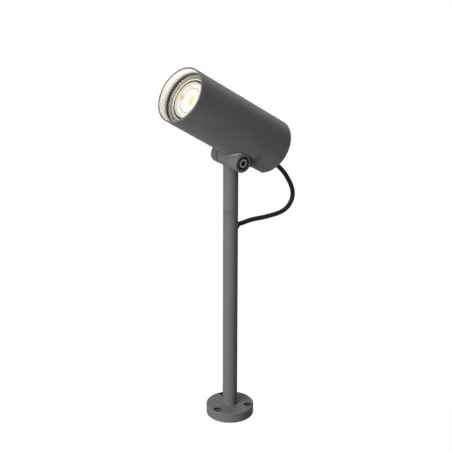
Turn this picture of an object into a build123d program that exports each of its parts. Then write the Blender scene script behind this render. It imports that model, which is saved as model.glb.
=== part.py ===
from build123d import *
import os
from math import cos, hypot, pi, radians, sin, tan

# Adjustable garden spotlight on a short pole. Millimetres, +Z up. The origin is the middle
# of the base's underside, the head looks towards -Y and the tilt axis runs along X.

# Clearances
slide_fit = 0.05
loose_fit = 0.15

# Base and pole
base_dia = 65.0
base_thick = 14.0
base_edge = 0.8
fixing_count = 3
fixing_pcd = 51.0
fixing_turn = -78.0
fixing_hole = 5.5
fixing_recess = 11.5
fixing_recess_depth = 3.0
pole_dia = 20.0
pole_wall = 2.0
pole_top = 301.0
pole_socket = 9.0
lead_bore = 10.0
base_screw_dia = 5.0
base_screw_len = 10.0
base_screw_key = 2.5
collar_thick = 3.8
collar_edge = 0.4

# Knuckle on the pole
pivot_height = 377.5
knuckle_dia = 26.0
knuckle_half = 27.2
knuckle_split = -11.9
knuckle_edge = 1.0
barrel_end_edge = 2.0
spigot_len = 14.0
stub_screw_dia = 4.0
stub_screw_len = 5.0
stub_screw_key = 2.0
stub_screw_drop = 7.0

# Tilt clamp
pivot_screw_dia = 8.0
pivot_screw_len = 38.0
pivot_head_dia = 13.0
pivot_head_len = 8.0
pivot_key = 6.0
pivot_key_depth = 4.0
pivot_recess_dia = 17.0
pivot_head_set_back = 0.2
flat_washer_dia = 16.0
flat_washer_thick = 1.6
spring_washer_dia = 14.8
spring_washer_thick = 2.0
friction_dia = 24.0
friction_thick = 1.0
swing_gap = 2.0
barrel_end_gap = 0.4

# Head tube
head_tilt = 35.0
head_dia = 75.0
head_wall = 2.2
head_len = 174.0
head_reach = 123.2
head_edge = 0.5
notch_edge = 1.0
groove_gap = 1.5
web = 2.2

# Rear cap and cable gland
cap_thick = 4.0
cap_gasket_thick = 1.0
cap_ledge = 2.0
cap_ledge_len = 4.0
cap_screw_dia = 4.0
cap_screw_head = 7.6
cap_screw_len = 12.0
cap_screw_count = 3
cap_screw_ring = 30.6
cap_boss_dia = 8.0
cap_boss_len = 16.0
gland_drop = 14.0
gland_thread = 12.0
gland_flats = 14.0
gland_flange = 3.0
gland_neck_dia = 10.6
gland_neck_len = 6.0
gland_nut_dia = 14.6
gland_nut_flats = 13.4
gland_nut_tip_dia = 9.6
gland_nut_len = 9.0
gland_lock_thick = 2.6
gland_seal_len = 4.0

# Cable between the head and the pole
cable_dia = 6.2
cable_tail = 3.4
cable_lead = 37.0
cable_loop = [(102.8, 35.7), (106.0, 15.4), (92.8, -0.4), (61.8, -1.3), (33.8, 1.5)]
cable_entry_run = 14.3
cable_corner = 0.45
entry_drop = 20.8
entry_hole = 9.6
cable_end = 5.2
grommet_lip = 0.9
grommet_lip_dia = 11.6

# Front of the head
sleeve_set_back = 0.6
sleeve_len = 11.5
sleeve_front_dia = 70.0
sleeve_rear_dia = 68.4
glass_gasket_thick = 0.8
glass_gasket_bore = 67.6
glass_dia = 69.6
glass_thick = 3.0
bezel_len = 10.0
bezel_bore = 57.4
bezel_bead_dia = 61.6
bezel_bead = 0.5
lamp_seal_bore = 50.6
lamp_seal_len = 5.0
bezel_seat = 2.0
bezel_seat_len = 3.0

# Reflector lamp, lampholder and terminals
lamp_dia = 50.0
lamp_set_back = 0.8
lamp_len = 47.0
lamp_rim = 5.0
lamp_neck_dia = 29.0
lamp_neck_len = 9.0
lens_dia = 47.0
lens_thick = 2.4
lens_lip = 1.6
bowl_depth = 13.0
lens_ring_dia = 33.2
lens_ring_width = 0.8
lens_ring_depth = 0.25
emitter_dia = 20.0
emitter_thick = 1.6
chip_size = 3.6
chip_thick = 0.9
chip_ring = 11.0
chip_count = 4
pin_pitch = 10.0
pin_dia = 5.0
pin_stem_dia = 3.6
pin_len = 7.0
pin_head_len = 2.6
holder_dia = 29.0
holder_back_dia = 23.0
holder_front_len = 11.0
holder_len = 20.0
plate_thick = 2.0
plate_ledge = 3.2
plate_ledge_len = 3.0
plate_boss_dia = 7.0
plate_boss_len = 8.0
plate_screw_dia = 3.0
plate_screw_head = 5.6
plate_screw_head_len = 1.8
plate_screw_ring = 29.5
plate_screw_len = 8.0
plate_wire_hole = 9.0
holder_screw_pitch = 17.0
terminal_width = 24.0
terminal_height = 16.0
terminal_depth = 12.0
terminal_poles = 3
terminal_raise = 12.0
terminal_screw_dia = 4.0
terminal_wire_dia = 3.4
terminal_peg_dia = 4.0

# Derived places
base_r = base_dia / 2
pole_r = pole_dia / 2
pole_bore = pole_dia - 2 * pole_wall
stub_bottom = pole_top + collar_thick
entry_height = pole_top - entry_drop
pivot = Vector(0, 0, pivot_height)
lug_face = knuckle_split - friction_thick
seat_x = knuckle_half - pivot_head_set_back - pivot_head_len
washer_x = seat_x - spring_washer_thick
recess_floor = washer_x - flat_washer_thick - slide_fit
notch_r = knuckle_dia / 2 + swing_gap
groove_r = pole_r + groove_gap
head_r = head_dia / 2
bore_r = head_r - head_wall
rear_dir = Vector(0, cos(radians(head_tilt)), -sin(radians(head_tilt)))
down_dir = Vector(0, -sin(radians(head_tilt)), -cos(radians(head_tilt)))
head_front = pivot - down_dir * head_r - rear_dir * head_reach
glass_front = sleeve_set_back + sleeve_len + glass_gasket_thick
glass_back = glass_front + glass_thick
lamp_front = glass_back + lamp_set_back
seat_front = glass_back + bezel_len
plate_r = bore_r - bezel_seat - loose_fit
lamp_back = lamp_front + lamp_len
bowl_floor = lamp_front + lens_thick + bowl_depth
plate_front = lamp_back + holder_len
plate_back = plate_front + plate_thick
cap_front = head_len - cap_thick
ledge_back = cap_front - cap_gasket_thick
lap = 0.5


def across(station):
    """Plane square to the head's axis, station mm behind the rim; its +Y looks to the underside."""
    return Plane(origin=head_front + rear_dir * station, x_dir=(1, 0, 0), z_dir=rear_dir)


def side(x):
    """Plane square to the tilt axis, centred on it, x mm to the right."""
    return Plane(origin=pivot + Vector(x, 0, 0), x_dir=(0, 1, 0), z_dir=(1, 0, 0))


def along_head():
    """Plane through the head's axis: its +X runs to the rear, its +Y to the head's upper side."""
    return Plane(origin=head_front, x_dir=rear_dir, z_dir=(1, 0, 0))


# Base: a turned disc with three recessed fixing holes, a socket for the pole and a lead bore
with BuildPart() as base_plate:
    with BuildSketch(Plane.XY):
        Circle(base_r)
    extrude(amount=base_thick)
    chamfer(base_plate.faces().sort_by(Axis.Z)[-1].edges(), base_edge)
    chamfer(base_plate.faces().sort_by(Axis.Z)[0].edges(), base_edge)
    with Locations(Plane.XY.offset(base_thick)):
        with PolarLocations(fixing_pcd / 2, fixing_count, start_angle=fixing_turn):
            CounterBoreHole(fixing_hole / 2, fixing_recess / 2, fixing_recess_depth)
        Hole(lead_bore / 2)
    with BuildSketch(Plane.XY.offset(base_thick)):
        Circle(pole_r + slide_fit)
    extrude(amount=-pole_socket, mode=Mode.SUBTRACT)
    with BuildSketch(Plane.XZ.offset(-base_r)):
        with Locations((0, base_thick - pole_socket / 2)):
            Circle(base_screw_dia / 2 + slide_fit)
    extrude(amount=base_r - pole_r + pole_wall / 2, mode=Mode.SUBTRACT)
base_plate.part.label = "base_plate"

# Grub screw that locks the pole in the base, from behind
with BuildPart() as base_grub_screw:
    with BuildSketch(Plane.XZ.offset(-(pole_r + slide_fit))):
        with Locations((0, base_thick - pole_socket / 2)):
            Circle(base_screw_dia / 2)
    extrude(amount=-base_screw_len)
    with BuildSketch(Plane.XZ.offset(-(pole_r + slide_fit + base_screw_len))):
        with Locations((0, base_thick - pole_socket / 2)):
            RegularPolygon(base_screw_key / 2, 6, major_radius=False)
    extrude(amount=base_screw_key, mode=Mode.SUBTRACT)
base_grub_screw.part.label = "base_grub_screw"

# Pole: a tube with the cable entry at the back
with BuildPart() as pole_tube:
    with BuildSketch(Plane.XY.offset(base_thick - pole_socket)):
        Circle(pole_r)
        Circle(pole_bore / 2, mode=Mode.SUBTRACT)
    extrude(amount=pole_top - base_thick + pole_socket)
    with BuildSketch(Plane.XZ.offset(-pole_r - lap)):
        with Locations((0, entry_height)):
            Circle(entry_hole / 2)
        with Locations((0, pole_top - stub_screw_drop)):
            Circle(stub_screw_dia / 2 + slide_fit)
    extrude(amount=pole_r, mode=Mode.SUBTRACT)
pole_tube.part.label = "pole_tube"

# Collar ring between the pole and the knuckle's stub
with BuildPart() as pole_collar:
    with BuildSketch(Plane.XY.offset(pole_top)):
        Circle(pole_r)
        Circle(pole_bore / 2, mode=Mode.SUBTRACT)
    extrude(amount=collar_thick)
    rims = pole_collar.edges().filter_by(GeomType.CIRCLE).group_by(SortBy.RADIUS)[-1]
    chamfer(rims, collar_edge)
pole_collar.part.label = "pole_collar"

# Knuckle: spigot, stub and barrel cast in one, bored for the clamp screw
with BuildPart() as knuckle_post:
    with BuildSketch(Plane.XY.offset(pole_top - spigot_len)):
        Circle(pole_bore / 2 - slide_fit)
    extrude(amount=spigot_len + collar_thick + lap)
    with BuildSketch(Plane.XY.offset(stub_bottom)):
        Circle(pole_r)
    extrude(amount=pivot_height - stub_bottom)
    foot = knuckle_post.edges().filter_by(GeomType.CIRCLE).filter_by(
        lambda e: abs(e.radius - pole_r) < slide_fit and e.center().Z < pivot_height - pole_r)
    chamfer(foot, collar_edge)
    with BuildSketch(side(knuckle_split)):
        Circle(knuckle_dia / 2)
    extrude(amount=knuckle_half - knuckle_split)
    ends = knuckle_post.faces().filter_by(Axis.X)
    fillet(ends.sort_by(Axis.X)[-1].edges(), barrel_end_edge)
    chamfer(ends.sort_by(Axis.X)[0].edges(), collar_edge)
    with Locations(side(knuckle_half)):
        CounterBoreHole(pivot_screw_dia / 2 + slide_fit, pivot_recess_dia / 2,
                        knuckle_half - recess_floor)
    with BuildSketch(Plane.XZ.offset(-pole_r)):
        with Locations((0, pole_top - stub_screw_drop)):
            Circle(stub_screw_dia / 2 + slide_fit)
    extrude(amount=stub_screw_len + stub_screw_key / 2, mode=Mode.SUBTRACT)
knuckle_post.part.label = "knuckle_post"

# Grub screw through the pole into the spigot, from behind
with BuildPart() as stub_grub_screw:
    with BuildSketch(Plane.XZ.offset(-pole_r)):
        with Locations((0, pole_top - stub_screw_drop)):
            Circle(stub_screw_dia / 2)
    extrude(amount=stub_screw_len)
    with BuildSketch(Plane.XZ.offset(-pole_r)):
        with Locations((0, pole_top - stub_screw_drop)):
            RegularPolygon(stub_screw_key / 2, 6, major_radius=False)
    extrude(amount=stub_screw_key, mode=Mode.SUBTRACT)
stub_grub_screw.part.label = "stub_grub_screw"

# Rubber grommet in the pole's cable entry
with BuildPart() as entry_grommet:
    with BuildSketch(Plane.XZ.offset(-(pole_bore / 2 - grommet_lip))):
        with Locations((0, entry_height)):
            Circle(entry_hole / 2 - slide_fit)
    extrude(amount=-(pole_wall + 2 * grommet_lip))
    with BuildSketch(Plane.XZ.offset(-pole_r)):
        with Locations((0, entry_height)):
            Circle(grommet_lip_dia / 2)
    extrude(amount=-grommet_lip)
    with BuildSketch(Plane.XZ.offset(-(pole_bore / 2 - grommet_lip))):
        with Locations((0, entry_height)):
            Circle(cable_dia / 2 + slide_fit)
    extrude(amount=-(pole_wall + 3 * grommet_lip), mode=Mode.SUBTRACT)
    fillet(entry_grommet.faces().sort_by(Axis.Y)[-1].edges().sort_by(SortBy.RADIUS)[-1],
           grommet_lip / 2)
entry_grommet.part.label = "entry_grommet"

# Belly blocks inside the head tube: the shell round the barrel's notch and round the pole groove
with BuildPart() as pocket_shell:
    with BuildSketch(side(-head_r)):
        Circle(notch_r + web)
    extrude(amount=head_dia)
    with BuildSketch(across(head_reach - notch_r - 2 * web)):
        Circle(bore_r + lap)
    extrude(amount=2 * notch_r + 4 * web, mode=Mode.INTERSECT)

with BuildPart() as groove_shell:
    with BuildSketch(across(head_reach)):
        Circle(bore_r + lap)
        with Locations((0, head_r)):
            Circle(groove_r + web, mode=Mode.INTERSECT)
    extrude(amount=head_len - head_reach)

# Lug: the short barrel segment that belongs to the head, tapped for the clamp screw
with BuildPart() as lug:
    with BuildSketch(side(-knuckle_half)):
        Circle(knuckle_dia / 2)
    extrude(amount=knuckle_half + lug_face)
    chamfer(lug.faces().sort_by(Axis.X)[0].edges(), knuckle_edge)
    chamfer(lug.faces().sort_by(Axis.X)[-1].edges(), collar_edge)


def follows_lip(edge):
    """True on the notch's outline, where the barrel's clearance meets the head's outside."""
    for part_way in (0.1, 0.5, 0.9):
        point = edge.position_at(part_way)
        from_tilt_axis = hypot(point.Y - pivot.Y, point.Z - pivot.Z)
        from_front = point - head_front
        from_head_axis = hypot(from_front.X, from_front.dot(down_dir))
        if abs(from_tilt_axis - notch_r) > slide_fit or abs(from_head_axis - head_r) > slide_fit:
            return False
    return True


# Head housing: a tube with ledges and screw bosses inside, notched for the barrel and grooved
# underneath at the back, so that the head can turn up until the pole lies in the groove
with BuildPart() as head_housing:
    with BuildSketch(across(0)):
        Circle(head_r)
        Circle(bore_r, mode=Mode.SUBTRACT)
    extrude(amount=head_len)
    rims = head_housing.edges().filter_by(GeomType.CIRCLE).group_by(SortBy.RADIUS)[-1]
    fillet(rims, head_edge)
    with BuildSketch(across(seat_front)):
        Circle(bore_r + lap)
        Circle(bore_r - bezel_seat, mode=Mode.SUBTRACT)
    extrude(amount=bezel_seat_len)
    with BuildSketch(across(plate_back)):
        Circle(bore_r + lap)
        Circle(bore_r - plate_ledge, mode=Mode.SUBTRACT)
    extrude(amount=plate_ledge_len)
    with BuildSketch(across(plate_back)):
        with PolarLocations(plate_screw_ring, 2):
            Circle(plate_boss_dia / 2)
        with PolarLocations((plate_screw_ring + bore_r + lap) / 2, 2):
            Rectangle(bore_r + lap - plate_screw_ring, plate_boss_dia)
        Circle(bore_r + lap, mode=Mode.INTERSECT)
    extrude(amount=plate_boss_len)
    with BuildSketch(across(ledge_back - cap_ledge_len)):
        Circle(bore_r + lap)
        Circle(bore_r - cap_ledge, mode=Mode.SUBTRACT)
        with Locations((0, head_r)):
            Circle(groove_r + web + cap_ledge / 2)
        Circle(bore_r + lap, mode=Mode.INTERSECT)
    extrude(amount=cap_ledge_len)
    with BuildSketch(across(ledge_back - cap_boss_len)):
        with PolarLocations(cap_screw_ring, cap_screw_count, start_angle=-90):
            Circle(cap_boss_dia / 2)
        with PolarLocations(bore_r - cap_boss_dia / 4, cap_screw_count, start_angle=-90):
            Rectangle(cap_boss_dia / 2 + 2 * lap, cap_boss_dia)
        Circle(bore_r + lap, mode=Mode.INTERSECT)
    extrude(amount=cap_boss_len)
    add(pocket_shell.part)
    add(groove_shell.part)
    with BuildSketch(side(lug_face)):
        Circle(notch_r)
    extrude(amount=knuckle_half + barrel_end_gap - lug_face, mode=Mode.SUBTRACT)
    lip = head_housing.edges().filter_by(follows_lip)
    chamfer(lip, notch_edge)
    with BuildSketch(across(head_reach)):
        with Locations((0, head_r)):
            Circle(groove_r)
    extrude(amount=head_len, mode=Mode.SUBTRACT)
    add(lug.part)
    with Locations(side(lug_face)):
        Hole(pivot_screw_dia / 2 + slide_fit, pivot_screw_len - (seat_x - lug_face) + web)
    with BuildSketch(across(plate_back)):
        with PolarLocations(plate_screw_ring, 2):
            Circle(plate_screw_dia / 2 + slide_fit)
    extrude(amount=plate_boss_len, mode=Mode.SUBTRACT)
    with BuildSketch(across(ledge_back - cap_boss_len)):
        with PolarLocations(cap_screw_ring, cap_screw_count, start_angle=-90):
            Circle(cap_screw_dia / 2 + slide_fit)
    extrude(amount=cap_boss_len, mode=Mode.SUBTRACT)
head_housing.part.label = "head_housing"

# Rear cap: a disc set flush into the tube, bitten out round the groove
with BuildPart() as rear_cap:
    with BuildSketch(across(cap_front)):
        Circle(bore_r - loose_fit)
        with Locations((0, head_r)):
            Circle(groove_r + web + loose_fit, mode=Mode.SUBTRACT)
        with Locations((0, gland_drop)):
            Circle(gland_thread / 2 + slide_fit, mode=Mode.SUBTRACT)
    extrude(amount=cap_thick)
    with Locations(across(head_len)):
        with PolarLocations(cap_screw_ring, cap_screw_count, start_angle=-90):
            CounterSinkHole(cap_screw_dia / 2 + loose_fit, cap_screw_head / 2 + loose_fit)
rear_cap.part.label = "rear_cap"

# Flat gasket between the rear cap and its ledge
with BuildPart() as rear_cap_gasket:
    with BuildSketch(across(ledge_back)):
        Circle(bore_r - loose_fit)
        with Locations((0, head_r)):
            Circle(groove_r + web + loose_fit, mode=Mode.SUBTRACT)
        Circle(cap_screw_ring - cap_boss_dia / 2, mode=Mode.SUBTRACT)
        with Locations((0, head_r)):
            Circle(groove_r + web + cap_ledge)
            Circle(groove_r + web + loose_fit, mode=Mode.SUBTRACT)
        Circle(bore_r - loose_fit, mode=Mode.INTERSECT)
        with PolarLocations(cap_screw_ring, cap_screw_count, start_angle=-90):
            Circle(cap_screw_dia / 2 + loose_fit, mode=Mode.SUBTRACT)
    extrude(amount=cap_gasket_thick)
rear_cap_gasket.part.label = "rear_cap_gasket"

# Countersunk screws of the rear cap
with BuildPart() as rear_cap_screws:
    head_drop = (cap_screw_head - cap_screw_dia) / 2
    with BuildSketch(across(head_len)):
        with PolarLocations(cap_screw_ring, cap_screw_count, start_angle=-90):
            Circle(cap_screw_head / 2)
    extrude(amount=-head_drop, taper=45)
    with BuildSketch(across(head_len - head_drop)):
        with PolarLocations(cap_screw_ring, cap_screw_count, start_angle=-90):
            Circle(cap_screw_dia / 2)
    extrude(amount=-(cap_screw_len - head_drop))
    with BuildSketch(across(head_len)):
        with PolarLocations(cap_screw_ring, cap_screw_count, start_angle=-90):
            RegularPolygon(cap_screw_dia / 4 + slide_fit, 6, major_radius=False)
    extrude(amount=-head_drop, mode=Mode.SUBTRACT)
rear_cap_screws.part.label = "rear_cap_screws"

# Cable gland: body, lock nut inside the cap, clamping nut and seal
with BuildPart() as gland_body:
    with BuildSketch(across(cap_front - gland_lock_thick)):
        with Locations((0, gland_drop)):
            Circle(gland_thread / 2)
    extrude(amount=cap_thick + gland_lock_thick)
    with BuildSketch(across(head_len)):
        with Locations((0, gland_drop)):
            RegularPolygon(gland_flats / 2, 6, major_radius=False)
    extrude(amount=gland_flange)
    with BuildSketch(across(head_len + gland_flange)):
        with Locations((0, gland_drop)):
            Circle(gland_neck_dia / 2)
    extrude(amount=gland_neck_len)
    with BuildSketch(across(cap_front - gland_lock_thick)):
        with Locations((0, gland_drop)):
            Circle(cable_dia / 2 + slide_fit)
    extrude(amount=2 * head_len, mode=Mode.SUBTRACT)
    with BuildSketch(across(head_len + gland_flange + gland_neck_len)):
        with Locations((0, gland_drop)):
            Circle((cable_dia + gland_neck_dia) / 4)
    extrude(amount=-gland_seal_len, mode=Mode.SUBTRACT)
gland_body.part.label = "gland_body"

with BuildPart() as gland_seal:
    with BuildSketch(across(head_len + gland_flange + gland_neck_len)):
        with Locations((0, gland_drop)):
            Circle((cable_dia + gland_neck_dia) / 4 - slide_fit)
            Circle(cable_dia / 2 + slide_fit, mode=Mode.SUBTRACT)
    extrude(amount=-gland_seal_len)
gland_seal.part.label = "gland_seal"

with BuildPart() as gland_nut:
    neck_end = head_len + gland_flange + gland_neck_len
    nut_end = head_len + gland_flange + gland_nut_len
    gland_axis = Axis(across(0).from_local_coords((0, gland_drop, 0)), rear_dir)
    with BuildSketch(along_head()):
        with BuildLine():
            Polyline(
                (head_len + gland_flange + slide_fit, -gland_drop + gland_neck_dia / 2 + slide_fit),
                (head_len + gland_flange + slide_fit, -gland_drop + gland_nut_dia / 2),
                (neck_end, -gland_drop + gland_nut_dia / 2),
                (nut_end, -gland_drop + gland_nut_tip_dia / 2),
                (nut_end, -gland_drop + cable_dia / 2 + loose_fit),
                (neck_end + slide_fit, -gland_drop + cable_dia / 2 + loose_fit),
                (neck_end + slide_fit, -gland_drop + gland_neck_dia / 2 + slide_fit),
                close=True,
            )
        make_face()
    revolve(axis=gland_axis)
    with BuildSketch(across(head_len)):
        with Locations((0, gland_drop)):
            RegularPolygon(gland_nut_flats / 2, 6, major_radius=False)
    extrude(amount=gland_flange + gland_nut_len, mode=Mode.INTERSECT)
gland_nut.part.label = "gland_nut"

with BuildPart() as gland_lock_nut:
    with BuildSketch(across(cap_front)):
        with Locations((0, gland_drop)):
            RegularPolygon(gland_flats / 2, 6, major_radius=False)
            Circle(gland_thread / 2 + slide_fit, mode=Mode.SUBTRACT)
    extrude(amount=-gland_lock_thick)
gland_lock_nut.part.label = "gland_lock_nut"

# Clamp screw of the tilt joint with its washers, and the friction disc between the barrels
with BuildPart() as pivot_screw:
    with BuildSketch(side(seat_x)):
        Circle(pivot_head_dia / 2)
    extrude(amount=pivot_head_len)
    fillet(pivot_screw.faces().sort_by(Axis.X)[-1].edges(), collar_edge)
    with BuildSketch(side(seat_x)):
        Circle(pivot_screw_dia / 2)
    extrude(amount=-pivot_screw_len)
    chamfer(pivot_screw.faces().sort_by(Axis.X)[0].edges(), collar_edge)
    with BuildSketch(side(seat_x + pivot_head_len)):
        RegularPolygon(pivot_key / 2, 6, major_radius=False)
    extrude(amount=-pivot_key_depth, mode=Mode.SUBTRACT)
pivot_screw.part.label = "pivot_screw"

with BuildPart() as pivot_spring_washer:
    with BuildSketch(side(washer_x)):
        Circle(spring_washer_dia / 2)
        Circle(pivot_screw_dia / 2 + slide_fit, mode=Mode.SUBTRACT)
    extrude(amount=spring_washer_thick)
pivot_spring_washer.part.label = "pivot_spring_washer"

with BuildPart() as pivot_flat_washer:
    with BuildSketch(side(washer_x)):
        Circle(flat_washer_dia / 2)
        Circle(pivot_screw_dia / 2 + slide_fit, mode=Mode.SUBTRACT)
    extrude(amount=-flat_washer_thick)
pivot_flat_washer.part.label = "pivot_flat_washer"

with BuildPart() as friction_disc:
    with BuildSketch(side(lug_face)):
        Circle(friction_dia / 2)
        Circle(pivot_screw_dia / 2 + slide_fit, mode=Mode.SUBTRACT)
    extrude(amount=friction_thick - slide_fit)
friction_disc.part.label = "friction_disc"

# Front sleeve: a tapered pale snoot that screws into the tube and holds the glass
with BuildPart() as front_sleeve:
    with BuildSketch(across(sleeve_set_back)):
        Circle(bore_r - slide_fit)
    extrude(amount=sleeve_len)
    with BuildSketch(across(sleeve_set_back)):
        Circle(sleeve_front_dia / 2)
    with BuildSketch(across(sleeve_set_back + sleeve_len)):
        Circle(sleeve_rear_dia / 2)
    loft(mode=Mode.SUBTRACT)
front_sleeve.part.label = "front_sleeve"

with BuildPart() as glass_gasket:
    with BuildSketch(across(glass_front)):
        Circle(bore_r - loose_fit)
        Circle(glass_gasket_bore / 2, mode=Mode.SUBTRACT)
    extrude(amount=-glass_gasket_thick)
glass_gasket.part.label = "glass_gasket"

with BuildPart() as cover_glass:
    with BuildSketch(across(glass_front)):
        Circle(glass_dia / 2)
    extrude(amount=glass_thick)
    chamfer(cover_glass.edges(), collar_edge)
cover_glass.part.label = "cover_glass"

# Bezel ring behind the glass: its face slopes in to a bead, a groove and the bore
with BuildPart() as bezel_ring:
    with BuildSketch(along_head()):
        with BuildLine():
            Polyline(
                (glass_back, bezel_bead_dia / 2 + bezel_bead),
                (glass_back, bore_r - loose_fit - bezel_bead),
                (glass_back + bezel_bead, bore_r - loose_fit),
                (glass_back + bezel_len, bore_r - loose_fit),
                (glass_back + bezel_len, bezel_bore / 2 - bezel_bead),
                (lamp_front + lamp_seal_len, bezel_bore / 2 - bezel_bead),
                (lamp_front + lamp_seal_len, bezel_bore / 2),
                (glass_back + 2 * bezel_bead, bezel_bore / 2),
                (glass_back + 2 * bezel_bead, bezel_bead_dia / 2 - bezel_bead),
                close=True,
            )
        make_face()
    revolve(axis=Axis(head_front, rear_dir))
bezel_ring.part.label = "bezel_ring"

# Soft ring that centres and seals the lamp's rim in the bezel
with BuildPart() as lamp_seal:
    with BuildSketch(across(lamp_front)):
        Circle(bezel_bore / 2 - slide_fit)
        Circle(lamp_seal_bore / 2, mode=Mode.SUBTRACT)
    extrude(amount=lamp_seal_len)
    fillet(lamp_seal.faces().sort_by(Axis(head_front, rear_dir))[0].edges(), bezel_bead)
lamp_seal.part.label = "lamp_seal"

# Reflector lamp: rim, bowl and neck, opened at the front for the lens and the light board
with BuildPart() as lamp_body:
    neck_front = lamp_back - lamp_neck_len
    with BuildSketch(along_head()):
        with BuildLine():
            Line((lamp_front, lens_dia / 2 + slide_fit), (lamp_front, lamp_dia / 2))
            Line((lamp_front, lamp_dia / 2), (lamp_front + lamp_rim, lamp_dia / 2))
            Spline((lamp_front + lamp_rim, lamp_dia / 2), (neck_front, lamp_neck_dia / 2),
                   tangents=[(1, 0), (1, -1)])
            Polyline((neck_front, lamp_neck_dia / 2), (lamp_back, lamp_neck_dia / 2), (lamp_back, 0),
                     (bowl_floor, 0), (bowl_floor, emitter_dia / 2 + loose_fit))
            Spline((bowl_floor, emitter_dia / 2 + loose_fit),
                   (lamp_front + lens_thick, lens_dia / 2 - lens_lip), tangents=[(0, 1), (-1, 0.4)])
            Polyline((lamp_front + lens_thick, lens_dia / 2 - lens_lip),
                     (lamp_front + lens_thick, lens_dia / 2 + slide_fit),
                     (lamp_front, lens_dia / 2 + slide_fit))
        make_face()
    revolve(axis=Axis(head_front, rear_dir))
lamp_body.part.label = "lamp_body"

# Lamp lens with a fine ring groove
with BuildPart() as lamp_lens:
    with BuildSketch(across(lamp_front)):
        Circle(lens_dia / 2)
    extrude(amount=lens_thick)
    with BuildSketch(across(lamp_front)):
        Circle(lens_ring_dia / 2 + lens_ring_width / 2)
        Circle(lens_ring_dia / 2 - lens_ring_width / 2, mode=Mode.SUBTRACT)
    extrude(amount=lens_ring_depth, mode=Mode.SUBTRACT)
lamp_lens.part.label = "lamp_lens"

# Light board on the bowl's floor and the chips on it
with BuildPart() as lamp_board:
    with BuildSketch(across(bowl_floor)):
        Circle(emitter_dia / 2)
    extrude(amount=-emitter_thick)
lamp_board.part.label = "lamp_board"

with BuildPart() as lamp_chips:
    with BuildSketch(across(bowl_floor - emitter_thick)):
        with PolarLocations(chip_ring / 2, chip_count):
            Rectangle(chip_size, chip_size)
    extrude(amount=-chip_thick)
lamp_chips.part.label = "lamp_chips"

# Lamp pins: stems with wider heads that turn and lock in the lampholder
with BuildPart() as lamp_pins:
    with BuildSketch(across(lamp_back)):
        with Locations((0, -pin_pitch / 2), (0, pin_pitch / 2)):
            Circle(pin_stem_dia / 2)
    extrude(amount=pin_len)
    with BuildSketch(across(lamp_back + pin_len)):
        with Locations((0, -pin_pitch / 2), (0, pin_pitch / 2)):
            Circle(pin_dia / 2)
    extrude(amount=-pin_head_len)
lamp_pins.part.label = "lamp_pins"

# Lampholder: a stepped ceramic block with two pin sockets and tapped fixing holes at the back
with BuildPart() as lampholder:
    with BuildSketch(across(lamp_back)):
        Circle(holder_dia / 2)
    extrude(amount=holder_front_len)
    with BuildSketch(across(lamp_back + holder_front_len)):
        Circle(holder_back_dia / 2)
    extrude(amount=holder_len - holder_front_len)
    with BuildSketch(across(lamp_back)):
        with Locations((0, -pin_pitch / 2), (0, pin_pitch / 2)):
            Circle(pin_dia / 2 + loose_fit)
    extrude(amount=pin_len + loose_fit, mode=Mode.SUBTRACT)
    with BuildSketch(across(plate_front)):
        with Locations((-holder_screw_pitch / 2, 0), (holder_screw_pitch / 2, 0)):
            Circle(plate_screw_dia / 2 + slide_fit)
    extrude(amount=-plate_screw_len, mode=Mode.SUBTRACT)
lampholder.part.label = "lampholder"

# Plate that carries the lampholder in front and the terminal block behind
with BuildPart() as holder_plate:
    with BuildSketch(across(plate_front)):
        Circle(plate_r)
        Circle(plate_wire_hole / 2, mode=Mode.SUBTRACT)
        with Locations((-holder_screw_pitch / 2, 0), (holder_screw_pitch / 2, 0)):
            Circle(plate_screw_dia / 2 + loose_fit, mode=Mode.SUBTRACT)
        with PolarLocations(plate_screw_ring, 2):
            Circle(plate_screw_dia / 2 + loose_fit, mode=Mode.SUBTRACT)
        with Locations((0, -terminal_raise)):
            Circle(terminal_peg_dia / 2 + slide_fit, mode=Mode.SUBTRACT)
    extrude(amount=plate_thick)
holder_plate.part.label = "holder_plate"


def pan_screw(plane, places, length):
    """Pan head screws of the plate's size: heads stand on the plane, shanks run below it."""
    with BuildPart() as screws:
        with BuildSketch(plane):
            with Locations(*places):
                Circle(plate_screw_head / 2)
        extrude(amount=plate_screw_head_len)
        with BuildSketch(plane):
            with Locations(*places):
                Circle(plate_screw_dia / 2)
        extrude(amount=-length)
        with BuildSketch(plane.offset(plate_screw_head_len)):
            with Locations(*places):
                Rectangle(plate_screw_head - plate_screw_head_len, plate_screw_head_len / 2)
        extrude(amount=-plate_screw_head_len / 2, mode=Mode.SUBTRACT)
    return screws.part


# Screws that hold the plate to its bosses, from the front
plate_screws = pan_screw(
    Plane(origin=across(plate_front).origin, x_dir=(1, 0, 0), z_dir=-rear_dir),
    [(-plate_screw_ring, 0), (plate_screw_ring, 0)], plate_screw_len)
plate_screws.label = "plate_screws"

# Screws that hold the lampholder to the plate, from behind
holder_screws = pan_screw(
    across(plate_back),
    [(-holder_screw_pitch / 2, 0), (holder_screw_pitch / 2, 0)], plate_screw_len)
holder_screws.label = "holder_screws"

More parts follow.
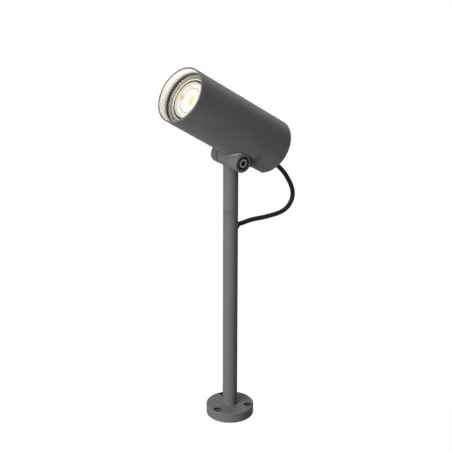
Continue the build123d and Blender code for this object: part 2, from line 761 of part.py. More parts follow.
# Terminal block with wire ways, a peg in the plate and one clamping screw for each pole
with BuildPart() as terminal_block:
    pole_step = terminal_width / terminal_poles
    with BuildSketch(across(plate_back)):
        with Locations((0, -terminal_raise)):
            RectangleRounded(terminal_width, terminal_height, terminal_peg_dia / 4)
    extrude(amount=terminal_depth)
    with BuildSketch(across(plate_front)):
        with Locations((0, -terminal_raise)):
            Circle(terminal_peg_dia / 2)
    extrude(amount=plate_thick)
    with BuildSketch(across(plate_back + terminal_depth)):
        with GridLocations(pole_step, 0, terminal_poles, 1):
            with Locations((0, -terminal_raise)):
                Circle(terminal_screw_dia / 2 + slide_fit)
    extrude(amount=-terminal_depth / 2, mode=Mode.SUBTRACT)
    wire_face = across(plate_back + terminal_depth / 2)
    with BuildSketch(Plane(origin=wire_face.from_local_coords((0, -terminal_raise - terminal_height, 0)),
                           x_dir=(1, 0, 0), z_dir=down_dir)):
        with GridLocations(pole_step, 0, terminal_poles, 1):
            Circle(terminal_wire_dia / 2)
    extrude(amount=2 * terminal_height, mode=Mode.SUBTRACT)
terminal_block.part.label = "terminal_block"

with BuildPart() as terminal_screws:
    with BuildSketch(across(plate_back + terminal_depth / 2)):
        with GridLocations(pole_step, 0, terminal_poles, 1):
            with Locations((0, -terminal_raise)):
                Circle(terminal_screw_dia / 2)
    extrude(amount=terminal_depth / 2 - terminal_wire_dia / 4)
    with BuildSketch(across(plate_back + terminal_depth - terminal_wire_dia / 4)):
        with GridLocations(pole_step, 0, terminal_poles, 1):
            with Locations((0, -terminal_raise)):
                Rectangle(terminal_screw_dia, terminal_screw_dia / 5)
    extrude(amount=-terminal_screw_dia / 4, mode=Mode.SUBTRACT)
terminal_screws.part.label = "terminal_screws"

# Cable: from inside the gland down in a loop behind the pole and forward into the grommet
gland_mouth = cap_front - gland_lock_thick
route = [
    across(gland_mouth - cable_tail).from_local_coords((0, gland_drop, 0)),
    across(gland_mouth + cable_lead).from_local_coords((0, gland_drop, 0)),
]
route += [Vector(0, y, entry_height + z) for y, z in cable_loop]
route += [
    Vector(0, cable_end + cable_entry_run, entry_height),
    Vector(0, cable_end, entry_height),
]
runs = [(b - a).length for a, b in zip(route, route[1:])]
radii = []
for before, here, after in zip(route, route[1:], route[2:]):
    half_turn = radians((here - before).get_angle(after - here)) / 2
    radii.append(cable_corner * min((here - before).length, (after - here).length) / tan(half_turn))
with BuildPart() as cable:
    with BuildLine() as cable_path:
        FilletPolyline(*route, radius=radii)
    with BuildSketch(across(gland_mouth - cable_tail)):
        with Locations((0, gland_drop)):
            Circle(cable_dia / 2)
    sweep()
cable.part.label = "cable"
print("cable runs", [round(r, 1) for r in runs])
print("cable radii", [round(r, 1) for r in radii])
cable_length = sum(edge.length for edge in cable_path.edges())
print("cable length", round(cable_length, 1), "volume over section times length",
      round(cable.part.volume / (pi * cable_dia ** 2 / 4 * cable_length), 3))

os.makedirs("parts", exist_ok=True)
for piece in (
        base_plate, base_grub_screw, pole_tube, pole_collar, knuckle_post, stub_grub_screw,
        entry_grommet, cable, head_housing, rear_cap, rear_cap_gasket, rear_cap_screws, gland_body,
        gland_lock_nut, gland_seal, gland_nut, friction_disc, pivot_screw, pivot_spring_washer,
        pivot_flat_washer, front_sleeve, glass_gasket, cover_glass, bezel_ring, lamp_seal,
        lamp_body, lamp_lens, lamp_board, lamp_chips, lamp_pins, lampholder, holder_plate,
        terminal_block, terminal_screws):
    export_step(piece.part, "parts/" + piece.part.label + ".step")
for solids in (plate_screws, holder_screws):
    export_step(solids, "parts/" + solids.label + ".step")
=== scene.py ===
"""Looks of an adjustable garden spotlight on a pole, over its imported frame. Metres, +Z up."""

from math import cos, pi, radians, sin

import bpy
from mathutils import Matrix, Vector


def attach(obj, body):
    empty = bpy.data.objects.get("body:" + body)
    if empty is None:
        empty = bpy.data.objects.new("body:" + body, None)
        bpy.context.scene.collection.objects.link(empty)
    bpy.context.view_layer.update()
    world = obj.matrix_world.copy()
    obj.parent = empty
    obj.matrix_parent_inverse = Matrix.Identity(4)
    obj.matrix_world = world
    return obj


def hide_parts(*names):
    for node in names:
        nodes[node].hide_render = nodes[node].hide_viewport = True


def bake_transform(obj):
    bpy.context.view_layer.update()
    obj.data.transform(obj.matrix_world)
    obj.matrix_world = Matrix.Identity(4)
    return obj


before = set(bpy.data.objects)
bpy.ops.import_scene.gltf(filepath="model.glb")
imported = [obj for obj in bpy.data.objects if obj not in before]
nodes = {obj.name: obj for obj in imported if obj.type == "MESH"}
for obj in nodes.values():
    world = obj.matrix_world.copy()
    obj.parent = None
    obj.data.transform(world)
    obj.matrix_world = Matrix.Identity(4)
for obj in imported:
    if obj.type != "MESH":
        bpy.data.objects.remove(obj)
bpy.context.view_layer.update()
MM = 0.001

# Directions: up the pole, along the tilt axis, to the head's rear and to the head's underside
up = (0, 0, 1)
tilt_axis = (1, 0, 0)
head_tilt = radians(35.0)
rear_dir = Vector((0, cos(head_tilt), -sin(head_tilt)))
down_dir = Vector((0, -sin(head_tilt), -cos(head_tilt)))
head_axis = tuple(rear_dir)
underside = tuple(down_dir)

# Places shared with the solids
pole_foot = (0, 0, 0)
collar_seam = 304.9 * MM
base_top = 14.0 * MM
fixing_circle_r = 25.5 * MM
fixing_recess_r = 5.75 * MM
fixing_hole_r = 2.75 * MM
first_hole = -78.0
pivot = Vector((0, 0, 377.5)) * MM
head_r = 37.5 * MM
head_front = pivot - down_dir * head_r - rear_dir * 123.2 * MM
notch_r = 15.0 * MM
notch_edge = 1.0 * MM
barrel_end = 27.2 * MM
knuckle_r = 13.0 * MM
split_x = -12.5 * MM
recess_r = 8.5 * MM
lamp_front = 16.7 * MM

# Finishes shared by several pieces
coat_colour = (0.105, 0.105, 0.103, 1.0)
coat_gloss = 0.08
coat_roughness = 0.44
# painted highlight: colour of the bright strip where the head's notch meets the barrel
highlight_colour = (0.50, 0.50, 0.48, 1.0)
# painted shade for the joints round the lamp
joint_shade = (0.014, 0.011, 0.008, 1.0)
turning_pitch = 0.14 * MM

# The lit lamp: its level, where its light source sits behind the lens, and where an amber spot, a
# painted reflection of that source, sits behind the lens too
lamp_brightness = 0.90
source_place = head_front + rear_dir * 21.8 * MM - down_dir * 0.9 * MM - Vector((1.3, 0, 0)) * MM
amber_place = head_front + rear_dir * 19.6 * MM + down_dir * 0.6 * MM - Vector((18.2, 0, 0)) * MM

# Camera: where the photograph was taken from
camera_place = Vector((1535.7, -1148.8, 1107.5)) * MM
camera_turn = radians(53.38)
camera_drop = radians(23.32)
camera_roll = radians(0.14)
camera_lens = 125.87
camera_sensor = 36.0

# Soft boxes, all at one distance from the place that they aim at. For each: name, degrees right
# of the camera, degrees above the floor, width, watts
studio_lamps = [
    ("low at the left", -45, 5, 0.9, 44),
    ("key at the left", -45, 50, 0.9, 30),
    ("beside the camera", -25, 30, 0.9, 14),
    ("over the camera", -10, 50, 0.9, 8),
    ("right of the camera", 10, 30, 0.9, 7),
    ("behind", 180, 45, 0.9, 10),
    ("behind at the right", 150, 20, 0.9, 7),
]
lamps_aim = Vector((0, 0, 0.35))
lamps_distance = 2.2
floor_width = 14.0
floor_share_white = 0.995


class Value:
    """A number or colour inside a material; arithmetic on it adds Math nodes."""

    def __init__(self, finish, socket):
        self.finish = finish
        self.socket = socket

    def maths(self, operation, first, second=0.0):
        return self.finish.node("ShaderNodeMath", {"operation": operation}, {0: first, 1: second})

    def magnitude(self):
        return self.maths("ABSOLUTE", self)

    def __add__(self, other):
        return self.maths("ADD", self, other)

    def __radd__(self, other):
        return self.maths("ADD", other, self)

    def __sub__(self, other):
        return self.maths("SUBTRACT", self, other)

    def __rsub__(self, other):
        return self.maths("SUBTRACT", other, self)

    def __mul__(self, other):
        return self.maths("MULTIPLY", self, other)

    def __rmul__(self, other):
        return self.maths("MULTIPLY", other, self)

    def __truediv__(self, other):
        return self.maths("DIVIDE", self, other)

    def above(self, edge, softness):
        """0 below edge, 1 above it, with a ramp of this softness."""
        ramp = (self - edge) / softness + 0.5
        return ramp.maths("MINIMUM", ramp.maths("MAXIMUM", ramp, 0.0), 1.0)

    def between(self, low, high, softness):
        """1 from low to high, 0 outside."""
        return self.above(low, softness) * (1 - self.above(high, softness))


class Finish:
    """A material in the making, with one shader for its surface."""

    def __init__(self, name, **surface):
        self.material = bpy.data.materials.new(name)
        self.material.use_nodes = True
        self.tree = self.material.node_tree
        self.shader = self.tree.nodes["Principled BSDF"]
        self.output = self.tree.nodes["Material Output"]
        for socket, value in surface.items():
            self.shader.inputs[socket.replace("_", " ")].default_value = value
        place = self.tree.nodes.new("ShaderNodeTexCoord")
        self.place = Value(self, place.outputs["Object"])

    def node(self, kind, settings=None, inputs=None, out=0):
        """A node of this kind: its settings first, then its sockets' values or links."""
        made = self.tree.nodes.new(kind)
        for name, value in (settings or {}).items():
            setattr(made, name, value)
        for key, value in (inputs or {}).items():
            self.feed(made.inputs[key], value)
        return Value(self, made.outputs[out])

    def feed(self, socket, value):
        if isinstance(value, Value):
            self.tree.links.new(value.socket, socket)
        else:
            socket.default_value = value

    def set(self, name, value):
        self.feed(self.shader.inputs[name], value)

    def grain(self, size, detail=2.0, place=None):
        """Noise whose lumps are about this many metres across."""
        return self.node("ShaderNodeTexNoise", None,
                         {"Vector": place or self.place, "Scale": 1 / size, "Detail": detail})

    def turning_lines(self, from_axis, pitch, detail=2.0):
        """Noise that changes only with the distance from an axis."""
        return self.node("ShaderNodeTexNoise", {"noise_dimensions": "1D"},
                         {"W": from_axis, "Scale": 1 / pitch, "Detail": detail})

    def blend(self, mask, first, second):
        """Colour first where the mask is 0, second where it is 1."""
        return self.node("ShaderNodeMix", {"data_type": "RGBA"}, {0: mask, 6: first, 7: second}, 2)

    def bump(self, height, depth, strength=1.0):
        self.set("Normal", self.node("ShaderNodeBump", None,
                                     {"Height": height, "Distance": depth, "Strength": strength}))

    def radius_about(self, centre, axis):
        """Distance of each point from the line through centre along axis."""
        offset = self.node("ShaderNodeVectorMath", {"operation": "SUBTRACT"},
                           {0: self.place, 1: centre})
        cross = self.node("ShaderNodeVectorMath", {"operation": "CROSS_PRODUCT"},
                          {0: offset, 1: axis})
        return self.node("ShaderNodeVectorMath", {"operation": "LENGTH"}, {0: cross}, 1)

    def distance_along(self, centre, axis):
        """How far each point lies along axis from centre."""
        offset = self.node("ShaderNodeVectorMath", {"operation": "SUBTRACT"},
                           {0: self.place, 1: centre})
        return self.node("ShaderNodeVectorMath", {"operation": "DOT_PRODUCT"},
                         {0: offset, 1: axis}, 1)


def grey(level):
    return (level, level, level, 1.0)


def tone(colour, level):
    """The colour made darker or lighter."""
    return [level * channel for channel in colour[:3]] + [1.0]


def fixing_hole_marks(coat, cloud):
    """Shade in the recess walls and bores of the base's three fixing holes."""
    marks = []
    below_top = 1 - coat.distance_along(pole_foot, up).above(base_top - 0.4 * MM, 0.5 * MM)
    for turn in (0, 120, 240):
        bearing = radians(first_hole + turn)
        hole = Vector((cos(bearing), sin(bearing), 0)) * fixing_circle_r
        from_hole = coat.radius_about(tuple(hole), up)
        wall = from_hole.between(fixing_recess_r - 0.35 * MM, fixing_recess_r + 0.15 * MM, 0.2 * MM)
        bore = 1 - from_hole.above(fixing_hole_r + 0.25 * MM, 0.3 * MM)
        marks.append(((wall + bore) * below_top * 0.85, grey(0.010)))
    return marks


def collar_marks(coat, cloud):
    """Shade at the collar's upper seam."""
    height = coat.distance_along(pole_foot, up)
    return [(height.above(collar_seam - 0.5 * MM, 0.3 * MM) * 0.5, grey(0.010))]


def notch_marks(coat, cloud):
    """Painted highlight on the lip of the head's notch, painted shade at the split inside the
    notch, and a painted shadow behind the knuckle.
    """
    from_pivot = coat.radius_about(pivot, tilt_axis)
    across = coat.distance_along(pivot, tilt_axis)
    in_front = coat.distance_along(pivot, tuple(-rear_dir))
    # painted highlight, faint, on the lip of the notch
    lip = from_pivot.between(notch_r + 0.02 * MM, notch_r + notch_edge * 1.6, 0.3 * MM)
    painted_highlight = lip * in_front.above(9.0 * MM, 1.2 * MM) * across.above(10 * MM, 5 * MM) * 0.12
    # painted shade inside the notch at the split
    in_notch = 1 - from_pivot.above(notch_r - 0.1 * MM, 0.1 * MM)
    left_of_split = 1 - across.above(split_x - 1.1 * MM, 0.1 * MM)
    at_split = in_notch * left_of_split * across.above(-15 * MM, 1 * MM)
    # painted shadow that the knuckle casts on the head behind it
    near_knuckle = 1 - from_pivot.above(21.5 * MM, 13 * MM)
    behind = 1 - in_front.above(-12 * MM, 6 * MM)
    painted_shade = near_knuckle * behind * across.above(8 * MM, 6 * MM)
    return [(painted_highlight, highlight_colour), ((at_split + painted_shade) * 0.85, grey(0.008))]


def knuckle_marks(coat, cloud):
    """Painted highlight in a strip on the barrel just below the head's lip, and the shade in its
    recess and joints.
    """
    from_pivot = coat.radius_about(pivot, tilt_axis)
    from_head_axis = coat.radius_about(head_front, head_axis)
    across = coat.distance_along(pivot, tilt_axis)
    in_front = coat.distance_along(pivot, tuple(-rear_dir))
    height = coat.distance_along(pole_foot, up)
    on_barrel = 1 - from_pivot.above(knuckle_r + 0.3 * MM, 0.1 * MM)
    # painted highlight: a bright strip on the barrel along the edge of the head's skin, stronger
    # outwards
    slanted = from_head_axis + across * 0.075 - 0.75 * MM
    highlight_strip = slanted.between(36.1 * MM, 38.9 * MM, 0.7 * MM) * on_barrel
    highlight_strip = highlight_strip * in_front.above(7.8 * MM, 0.8 * MM) * across.above(9.4 * MM, 1.0 * MM)
    stronger_outwards = across.above(17.5 * MM, 10 * MM) * 1.05 + 0.15
    painted_highlight = highlight_strip * stronger_outwards * (0.8 + 0.4 * cloud)
    in_recess = 1 - from_pivot.above(recess_r + 0.7 * MM, 0.4 * MM)
    in_recess = in_recess * across.above(20 * MM, 1 * MM)
    at_split = (1 - across.above(split_x + 1.0 * MM, 0.5 * MM)) * on_barrel
    at_collar = (1 - height.above(collar_seam + 0.5 * MM, 0.3 * MM)) * 0.5
    dark = in_recess + at_split + at_collar
    return [(painted_highlight, highlight_colour), (dark * 0.85, grey(0.008))]


def powder_coat(name, marks=None):
    """Fine-texture anthracite powder coat; marks gives the piece's own masks and their colours."""
    coat = Finish(name, Specular_IOR_Level=coat_gloss)
    cloud = coat.grain(22 * MM, 3.0)
    speck = coat.grain(0.5 * MM, 3.0)
    scuff = coat.grain(1.6 * MM, 5.0).above(0.66, 0.08) * coat.grain(30 * MM).above(0.5, 0.2)
    patchy = cloud * 0.6 + speck * 0.4
    base = coat.blend(patchy, tone(coat_colour, 0.84), tone(coat_colour, 1.16))
    base = coat.blend(scuff * 0.12, base, tone(coat_colour, 2.2))
    for mask, colour in marks(coat, cloud) if marks else []:
        base = coat.blend(mask, base, colour)
    coat.set("Base Color", base)
    coat.set("Roughness", coat_roughness + speck * 0.14 - scuff * 0.08)
    coat.bump(speck + cloud * 0.3, 0.1 * MM, 0.45)
    return coat.material


def black_rubber(name):
    """Dull black rubber with a little dust on it."""
    rubber = Finish(name, Specular_IOR_Level=0.07)
    speck = rubber.grain(0.6 * MM)
    dust_and_shade = rubber.grain(5 * MM, 4.0).above(0.55, 0.3)
    base = rubber.blend(rubber.grain(9 * MM), grey(0.010), grey(0.016))
    rubber.set("Base Color", rubber.blend(dust_and_shade * 0.2, base, grey(0.035)))
    rubber.set("Roughness", 0.42 + speck * 0.16)
    rubber.bump(speck, 0.05 * MM, 0.4)
    return rubber.material


def satin_plastic(name, colour, roughness=0.45):
    """Moulded plastic, pressed fibre or ceramic with a fine texture."""
    plastic = Finish(name)
    speck = plastic.grain(0.8 * MM)
    patchy = plastic.grain(12 * MM, 3.0)
    plastic.set("Base Color", plastic.blend(patchy, tone(colour, 0.93), colour))
    plastic.set("Roughness", roughness + speck * 0.12)
    plastic.bump(speck, 0.03 * MM, 0.3)
    return plastic.material


def turned_metal(name, colour, centre, axis, roughness=0.3):
    """Bare metal with fine turning lines round an axis."""
    metal = Finish(name, Metallic=1.0)
    from_axis = metal.radius_about(centre, axis)
    lines = metal.turning_lines(from_axis, turning_pitch)
    base = metal.blend(metal.grain(4 * MM), tone(colour, 0.8), colour)
    metal.set("Base Color", base)
    metal.set("Roughness", roughness + lines * 0.18)
    metal.bump(lines, 0.02 * MM, 0.3)
    return metal.material


def blackened_screw(name):
    """Dark socket screw: a lighter, worn rim round the head and painted shade in its deep socket.
    """
    screw = Finish(name, Metallic=0.85, Specular_IOR_Level=0.4)
    from_axis = screw.radius_about(pivot, tilt_axis)
    along = screw.distance_along(pivot, tilt_axis)
    lines = screw.turning_lines(from_axis, turning_pitch)
    on_face = from_axis.between(3.6 * MM, 5.7 * MM, 0.4 * MM)
    on_face = on_face * along.above(barrel_end - 0.6 * MM, 0.2 * MM)
    # painted shade: the deep socket darkened
    in_socket = 1 - from_axis.above(3.45 * MM, 0.1 * MM)
    in_socket = in_socket * (1 - along.above(barrel_end - 0.5 * MM, 0.2 * MM))
    base = screw.blend(screw.grain(3 * MM), grey(0.035), grey(0.05))
    base = screw.blend(on_face, base, grey(0.17))
    screw.set("Base Color", screw.blend(in_socket, base, grey(0.02)))
    screw.set("Roughness", 0.34 + lines * 0.2)
    screw.bump(lines, 0.02 * MM, 0.3)
    return screw.material


def ribbed_plastic(name):
    """Warm grey plastic, with painted shade in a groove between its ribs and at its outer edge."""
    plastic = Finish(name)
    from_axis = plastic.radius_about(head_front, head_axis)
    speck = plastic.grain(0.5 * MM)
    rings = plastic.turning_lines(from_axis, 0.5 * MM, 3.0)
    base = plastic.blend(rings, (0.148, 0.130, 0.108, 1.0), (0.262, 0.238, 0.200, 1.0))
    bead = from_axis.between(31.6 * MM, 32.8 * MM, 0.4 * MM)
    base = plastic.blend(bead * 0.6, base, (0.34, 0.31, 0.27, 1.0))
    # painted shade in the groove and at the outer edge beside the sleeve
    groove = from_axis.between(30.3 * MM, 31.1 * MM, 0.3 * MM)
    groove = groove + from_axis.above(34.4 * MM, 0.3 * MM)
    base = plastic.blend(groove * 0.5, base, (0.05, 0.044, 0.038, 1.0))
    plastic.set("Base Color", base)
    plastic.set("Roughness", 0.42 + speck * 0.15)
    plastic.bump(rings + speck * 0.3, 0.04 * MM, 0.3)
    return plastic.material


def lamp_shell(name):
    """White ceramic shell, cream at its front rim, with painted shade in the joint round it."""
    shell = Finish(name)
    from_axis = shell.radius_about(head_front, head_axis)
    behind = shell.distance_along(head_front, head_axis)
    front = 1 - behind.above(lamp_front + 3 * MM, 1 * MM)
    base = shell.blend(shell.grain(9 * MM), (0.70, 0.70, 0.68, 1.0), (0.80, 0.80, 0.78, 1.0))
    base = shell.blend(front, base, (0.44, 0.40, 0.32, 1.0))
    # painted shade in the joint between the lamp's rim and the seal
    joint = from_axis.above(24.4 * MM, 0.2 * MM) * front
    shell.set("Base Color", shell.blend(joint, base, joint_shade))
    shell.set("Roughness", 0.30 + shell.grain(1 * MM) * 0.15)
    shell.bump(shell.grain(0.8 * MM), 0.02 * MM, 0.3)
    return shell.material


def clear_glass(name):
    """Clear pane: mostly see-through, with more gloss at a flat angle and faint smears."""
    glass = Finish(name, Base_Color=(0.32, 0.29, 0.25, 1.0), Roughness=0.03, IOR=1.45)
    smear = glass.grain(20 * MM, 4.0)
    flat_angle = glass.node("ShaderNodeLayerWeight", None, {"Blend": 0.25}, 1)
    glass.set("Alpha", 0.012 + smear * 0.02 + flat_angle * 0.12)
    glass.set("Roughness", 0.02 + smear * 0.06)
    glass.bump(smear, 0.01 * MM, 0.1)
    return glass.material


def lamp_glow(name):
    """Lit lens: a clear front with moulded rings, over a white dish with the light source in it."""
    glow = Finish(name, Roughness=0.25, Emission_Strength=lamp_brightness)
    from_axis = glow.radius_about(head_front, head_axis)
    behind = glow.distance_along(head_front, head_axis)
    dish = behind.above(lamp_front + 2.3 * MM, 0.2 * MM)
    fine_ring = from_axis.between(16.2 * MM, 17.0 * MM, 0.3 * MM)
    inner_ring = from_axis.between(12.2 * MM, 12.8 * MM, 0.3 * MM)
    lit = glow.blend(glow.grain(7 * MM), (1.0, 0.99, 0.95, 1.0), (1.0, 1.0, 0.99, 1.0))
    lit = glow.blend(from_axis.above(18.5 * MM, 6 * MM), lit, (0.94, 0.87, 0.73, 1.0))
    across = glow.distance_along(source_place, tilt_axis) / (4.8 * MM)
    upright = glow.distance_along(source_place, underside) / (7.4 * MM)
    squares = across * across + upright * upright
    source = (1 - squares.above(0.85, 1.0)) * dish
    lit = glow.blend(source, lit, (0.92, 0.80, 0.24, 1.0))
    # painted reflection: an amber spot of the light source on the dish
    amber_offset = glow.node("ShaderNodeVectorMath", {"operation": "DISTANCE"},
                             {0: glow.place, 1: amber_place}, 1)
    amber = (1 - amber_offset.above(3.6 * MM, 2.4 * MM)) * dish
    lit = glow.blend(amber, lit, (0.80, 0.50, 0.18, 1.0))
    lines = fine_ring * 0.85 + inner_ring * 0.3
    shown = glow.blend(lines, lit, (0.30, 0.26, 0.20, 1.0))
    glow.set("Base Color", glow.blend(0.07, grey(0.0), shown))
    glow.set("Emission Color", shown)
    edge = from_axis.above(23.0 * MM, 0.3 * MM)
    glow.set("Alpha", 0.10 + dish * 0.90 + lines * 0.8 + edge * 0.5)
    glow.bump(glow.grain(1.1 * MM), 0.03 * MM, 0.25)
    return glow.material


def pale_sleeve(name):
    """Cream plastic, with painted shade that darkens it towards the glass."""
    sleeve = Finish(name, Specular_IOR_Level=0.3)
    behind = sleeve.distance_along(head_front, head_axis)
    speck = sleeve.grain(0.6 * MM)
    patchy = sleeve.grain(18 * MM, 3.0)
    unshaded = sleeve.blend(patchy, (0.88, 0.86, 0.79, 1.0), (0.92, 0.90, 0.84, 1.0))
    # painted shade darkens the sleeve deeper in, towards the glass; the same ramp also makes it
    # rougher
    dust_and_shade = behind.above(9.6 * MM, 5.4 * MM)
    sleeve.set("Base Color", sleeve.blend(dust_and_shade * 0.97, unshaded, (0.09, 0.076, 0.058, 1.0)))
    sleeve.set("Roughness", 0.5 + speck * 0.12 + dust_and_shade * 0.2)
    sleeve.bump(speck, 0.02 * MM, 0.12)
    return sleeve.material


def cream_silicone(name):
    """Soft cream silicone with fine turned lines, and painted shade in the joint where it meets the
    lamp.
    """
    silicone = Finish(name, Specular_IOR_Level=0.3)
    from_axis = silicone.radius_about(head_front, head_axis)
    speck = silicone.grain(0.7 * MM)
    base = silicone.blend(silicone.grain(9 * MM), (0.52, 0.48, 0.40, 1.0), (0.57, 0.53, 0.45, 1.0))
    # painted shade in the joint, reaching further out towards the top and bottom of the head
    off_centre = silicone.distance_along(head_front, underside).magnitude()
    painted_shade = 1 - (from_axis - off_centre * 0.025).above(26.4 * MM, 0.2 * MM)
    silicone.set("Base Color", silicone.blend(painted_shade, base, joint_shade))
    silicone.set("Roughness", 0.5 + speck * 0.15)
    silicone.bump(speck, 0.03 * MM, 0.3)
    return silicone.material


def glowing(name, colour, strength, size):
    """Phosphor or white mask that glows faintly."""
    glow = Finish(name, Roughness=0.5, Emission_Strength=strength)
    patchy = glow.blend(glow.grain(size), tone(colour, 0.85), colour)
    glow.set("Base Color", patchy)
    glow.set("Emission Color", patchy)
    glow.bump(glow.grain(0.3 * MM), 0.02 * MM, 0.2)
    return glow.material


def dress(names, finish):
    """Gives CAD nodes a finish."""
    for name in names:
        for slot in nodes[name].material_slots:
            slot.material = finish


def turned_ring(name, outline, sides, crease, closed=True):
    """A ring or disc turned about the head's axis, from (mm behind the rim, radius) points."""
    bpy.ops.object.select_all(action="DESELECT")
    first = outline[0]
    station = head_front + rear_dir * first[0] * MM
    facing = rear_dir.to_track_quat("Z", "Y").to_euler()
    bpy.ops.mesh.primitive_circle_add(vertices=sides, radius=first[1] * MM, location=station,
                                      rotation=facing)
    ring = bpy.context.object
    ring.name = name
    bpy.ops.object.mode_set(mode="EDIT")
    bpy.ops.mesh.select_all(action="SELECT")
    before = first
    for point in outline[1:] + ([first] if closed else []):
        shift = rear_dir * (point[0] - before[0]) * MM
        bpy.ops.mesh.extrude_region_move(TRANSFORM_OT_translate={"value": shift})
        middle = head_front + rear_dir * point[0] * MM
        growth = point[1] / before[1]
        bpy.ops.transform.resize(value=(growth, growth, growth), center_override=middle)
        before = point
    bpy.ops.mesh.select_all(action="SELECT")
    bpy.ops.mesh.remove_doubles(threshold=0.004 * MM)
    if not closed:
        bpy.ops.mesh.fill_holes(sides=0)
    bpy.ops.mesh.normals_make_consistent(inside=False)
    bpy.ops.object.mode_set(mode="OBJECT")
    bpy.ops.object.transform_apply(location=True, rotation=True, scale=True)
    bpy.ops.object.shade_smooth_by_angle(angle=crease)
    return ring


# The cable's route, from inside the gland to inside the pole, millimetres
cable_route = [
    (0, 46.9, 373.3), (0, 80.0, 350.1), (0, 102.8, 315.9), (0, 106.0, 295.6), (0, 92.8, 279.8),
    (0, 61.8, 278.9), (0, 33.8, 281.7), (0, 19.5, 280.2), (0, 5.2, 280.2),
]
cable_dia = 6.2 * MM


def cable_line(name, thickness):
    """The route as one smooth spline, bare or with a round section."""
    curve = bpy.data.curves.new(name, "CURVE")
    curve.dimensions = "3D"
    curve.resolution_u = 16
    curve.bevel_depth = thickness / 2
    curve.bevel_resolution = 6
    curve.use_fill_caps = thickness > 0
    spline = curve.splines.new("NURBS")
    spline.points.add(len(cable_route) - 1)
    for control, place in zip(spline.points, cable_route):
        control.co = (*(Vector(place) * MM), 1.0)
    spline.order_u = 3
    spline.use_endpoint_u = True
    line = bpy.data.objects.new(name, curve)
    bpy.context.collection.objects.link(line)
    return line


def mesh_of(line):
    """A mesh made from a curve object, which is then removed."""
    bpy.context.view_layer.update()
    shown = line.evaluated_get(bpy.context.evaluated_depsgraph_get())
    mesh = bpy.data.meshes.new_from_object(shown)
    bpy.data.objects.remove(line)
    return mesh


def make_cable():
    """The cable in one piece; it bends between the head and the pole."""
    centre_line = [vertex.co.copy() for vertex in mesh_of(cable_line("cable_centre", 0)).vertices]
    sheath = bpy.data.objects.new("cable_sheath", mesh_of(cable_line("cable_round", cable_dia)))
    bpy.context.collection.objects.link(sheath)
    sheath.data.materials.clear()
    sheath.data.materials.append(black_rubber("cable rubber"))
    for face in sheath.data.polygons:
        face.use_smooth = True
    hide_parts("cable")
    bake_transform(sheath)


def make_bezel():
    """Grey ring behind the glass, with turned ribs round its face."""
    outline = [(16.0, 34.65)]
    for rib in range(4):
        crest = 34.1 - 0.95 * rib
        outline += [(16.0, crest), (16.35, crest - 0.3), (16.0, crest - 0.6)]
    outline += [(16.0, 30.9), (16.5, 30.5), (16.9, 30.3), (16.9, 29.8), (17.2, 29.6),
                (16.9, 29.4), (16.9, 28.95), (17.1, 28.75), (21.7, 28.7), (21.7, 28.2),
                (25.9, 28.2), (25.9, 35.1), (16.4, 35.1)]
    bezel = turned_ring("bezel_ribbed", outline, 128, radians(25))
    bezel.data.materials.append(ribbed_plastic("grey bezel plastic"))
    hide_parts("bezel_ring")
    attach(bezel, "head")


def make_seal():
    """Cream seal round the lamp, with a groove between its two lips."""
    outline = [(17.0, 28.65), (16.75, 28.3), (16.75, 27.75), (17.25, 27.5), (17.25, 27.3),
               (16.75, 27.1), (16.75, 26.6), (16.9, 26.4), (18.2, 25.6), (18.6, 25.4),
               (21.7, 25.4), (21.7, 28.6)]
    seal = turned_ring("lamp_seal_lipped", outline, 112, radians(35))
    seal.data.materials.append(cream_silicone("cream silicone"))
    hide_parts("lamp_seal")
    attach(seal, "head")


def make_optic():
    """The lamp's lens: a moulded front disc over a shallow dish that the light comes from."""
    outline = [(16.95, 0.4), (16.95, 11.8), (17.12, 12.2), (17.12, 12.6), (16.95, 13.0),
               (16.92, 16.0), (17.2, 16.3), (17.2, 16.8), (16.92, 17.1), (16.8, 22.5),
               (16.95, 23.4), (18.9, 23.4), (19.1, 21.6), (19.6, 18.4), (20.5, 12.5),
               (21.7, 6.4), (21.9, 5.8), (21.9, 0.4)]
    optic = turned_ring("lamp_optic", outline, 112, radians(35), closed=False)
    optic.data.materials.append(lamp_glow("lit lens"))
    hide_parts("lamp_lens")
    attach(optic, "head")


def make_camera():
    """The camera at the photograph's place."""
    data = bpy.data.cameras.new("photo camera")
    data.lens = camera_lens
    data.sensor_width = camera_sensor
    camera = bpy.data.objects.new("photo camera", data)
    bpy.context.collection.objects.link(camera)
    turn = Matrix.Rotation(camera_turn, 4, "Z")
    drop = Matrix.Rotation(pi / 2 - camera_drop, 4, "X")
    roll = Matrix.Rotation(camera_roll, 4, "Z")
    camera.matrix_world = Matrix.Translation(camera_place) @ turn @ drop @ roll
    bpy.context.scene.camera = camera


def soft_light(name, across, height, size, power):
    """A square soft box, its direction given in degrees from the camera's bearing and the floor."""
    data = bpy.data.lights.new(name, "AREA")
    data.shape = "SQUARE"
    data.size = size
    data.energy = power
    light = bpy.data.objects.new(name, data)
    bpy.context.collection.objects.link(light)
    bearing = camera_turn - pi / 2 + radians(across)
    height = radians(height)
    way = Vector((cos(bearing) * cos(height), sin(bearing) * cos(height), sin(height)))
    facing = way.to_track_quat("Z", "Y").to_matrix().to_4x4()
    light.matrix_world = Matrix.Translation(lamps_aim + way * lamps_distance) @ facing


def white_to_the_eye(finish, share):
    """Mixes plain white into the surface for rays that look at it rather than light from it."""
    tree = finish.tree
    glow = tree.nodes.new("ShaderNodeEmission")
    rays = tree.nodes.new("ShaderNodeLightPath")
    seen = Value(finish, rays.outputs["Is Camera Ray"])
    for kind in ("Is Glossy Ray", "Is Transmission Ray"):
        seen = seen.maths("MAXIMUM", seen, Value(finish, rays.outputs[kind]))
    mix = tree.nodes.new("ShaderNodeMixShader")
    finish.feed(mix.inputs[0], seen * share)
    tree.links.new(finish.shader.outputs[0], mix.inputs[1])
    tree.links.new(glow.outputs[0], mix.inputs[2])
    tree.links.new(mix.outputs[0], finish.output.inputs["Surface"])


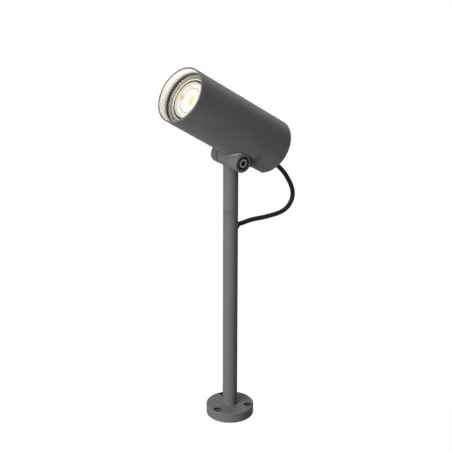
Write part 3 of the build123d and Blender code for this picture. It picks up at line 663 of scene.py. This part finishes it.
def make_studio():
    """A white room that casts no light of its own, a pale floor and the soft boxes."""
    world = bpy.data.worlds.new("white studio")
    bpy.context.scene.world = world
    world.use_nodes = True
    tree = world.node_tree
    shade = tree.nodes["Background"]
    shade.inputs["Color"].default_value = (1, 1, 1, 1)
    rays = tree.nodes.new("ShaderNodeLightPath")
    level = tree.nodes.new("ShaderNodeMapRange")
    level.inputs["To Min"].default_value = 1.0
    level.inputs["To Max"].default_value = 0.0
    tree.links.new(rays.outputs["Is Diffuse Ray"], level.inputs["Value"])
    tree.links.new(level.outputs[0], shade.inputs["Strength"])

    bpy.ops.object.select_all(action="DESELECT")
    bpy.ops.mesh.primitive_plane_add(size=floor_width)
    floor = bpy.context.object
    floor.name = "floor"
    paper = Finish("pale paper", Roughness=0.9, Specular_IOR_Level=0.1)
    paper.set("Base Color", paper.blend(paper.grain(0.4), grey(0.14), grey(0.17)))
    white_to_the_eye(paper, floor_share_white)
    floor.data.materials.append(paper.material)

    for name, across, height, size, power in studio_lamps:
        soft_light(name, across, height, size, power)


def dress_solids():
    """Gives every CAD node its finish."""
    dress(["pole_tube", "rear_cap"], powder_coat("anthracite powder coat"))
    dress(["base_plate"], powder_coat("powder coat of the base", fixing_hole_marks))
    dress(["pole_collar"], powder_coat("powder coat of the collar", collar_marks))
    dress(["head_housing"], powder_coat("powder coat of the head", notch_marks))
    dress(["knuckle_post"], powder_coat("powder coat of the knuckle", knuckle_marks))

    steel_colour = (0.48, 0.48, 0.47, 1.0)
    nickel_colour = (0.40, 0.385, 0.36, 1.0)
    washer_colour = (0.12, 0.12, 0.12, 1.0)
    grub_colour = (0.10, 0.10, 0.10, 1.0)
    dress(["pivot_screw"], blackened_screw("blackened screw"))
    dress(["pivot_spring_washer", "pivot_flat_washer"],
          turned_metal("dark washer steel", washer_colour, pivot, tilt_axis, 0.4))
    dress(["base_grub_screw", "stub_grub_screw"],
          turned_metal("grub screw steel", grub_colour, pole_foot, (0, 1, 0), 0.4))
    dress(["rear_cap_screws", "plate_screws", "holder_screws", "terminal_screws", "lamp_pins"],
          turned_metal("small screw steel", steel_colour, head_front, head_axis))
    gland_line = head_front + down_dir * 14 * MM
    dress(["gland_body", "gland_lock_nut", "gland_nut"],
          turned_metal("nickel plate", nickel_colour, gland_line, head_axis, 0.22))
    dress(["entry_grommet", "rear_cap_gasket", "gland_seal"], black_rubber("black rubber"))
    dress(["friction_disc"], satin_plastic("pressed fibre", (0.12, 0.09, 0.06, 1.0), 0.7))
    dress(["front_sleeve"], pale_sleeve("pale sleeve plastic"))
    dress(["glass_gasket"], black_rubber("dark gasket rubber"))
    dress(["lamp_body"], lamp_shell("lamp shell"))
    dress(["lampholder"], satin_plastic("glazed ceramic", (0.82, 0.80, 0.76, 1.0), 0.2))
    dress(["holder_plate"], turned_metal("sheet metal", grey(0.6), head_front, head_axis))
    dress(["terminal_block"], satin_plastic("natural nylon", (0.78, 0.77, 0.72, 1.0)))
    dress(["lamp_board"], glowing("white board", (0.95, 0.9, 0.8, 1.0), 0.6, 3 * MM))
    dress(["lamp_chips"], glowing("yellow phosphor", (1.0, 0.62, 0.12, 1.0), 0.9, 1 * MM))
    dress(["cover_glass"], clear_glass("clear cover glass"))


make_camera()
make_cable()
make_bezel()
make_seal()
make_optic()
dress_solids()
make_studio()
bpy.context.scene.view_settings.view_transform = "Standard"
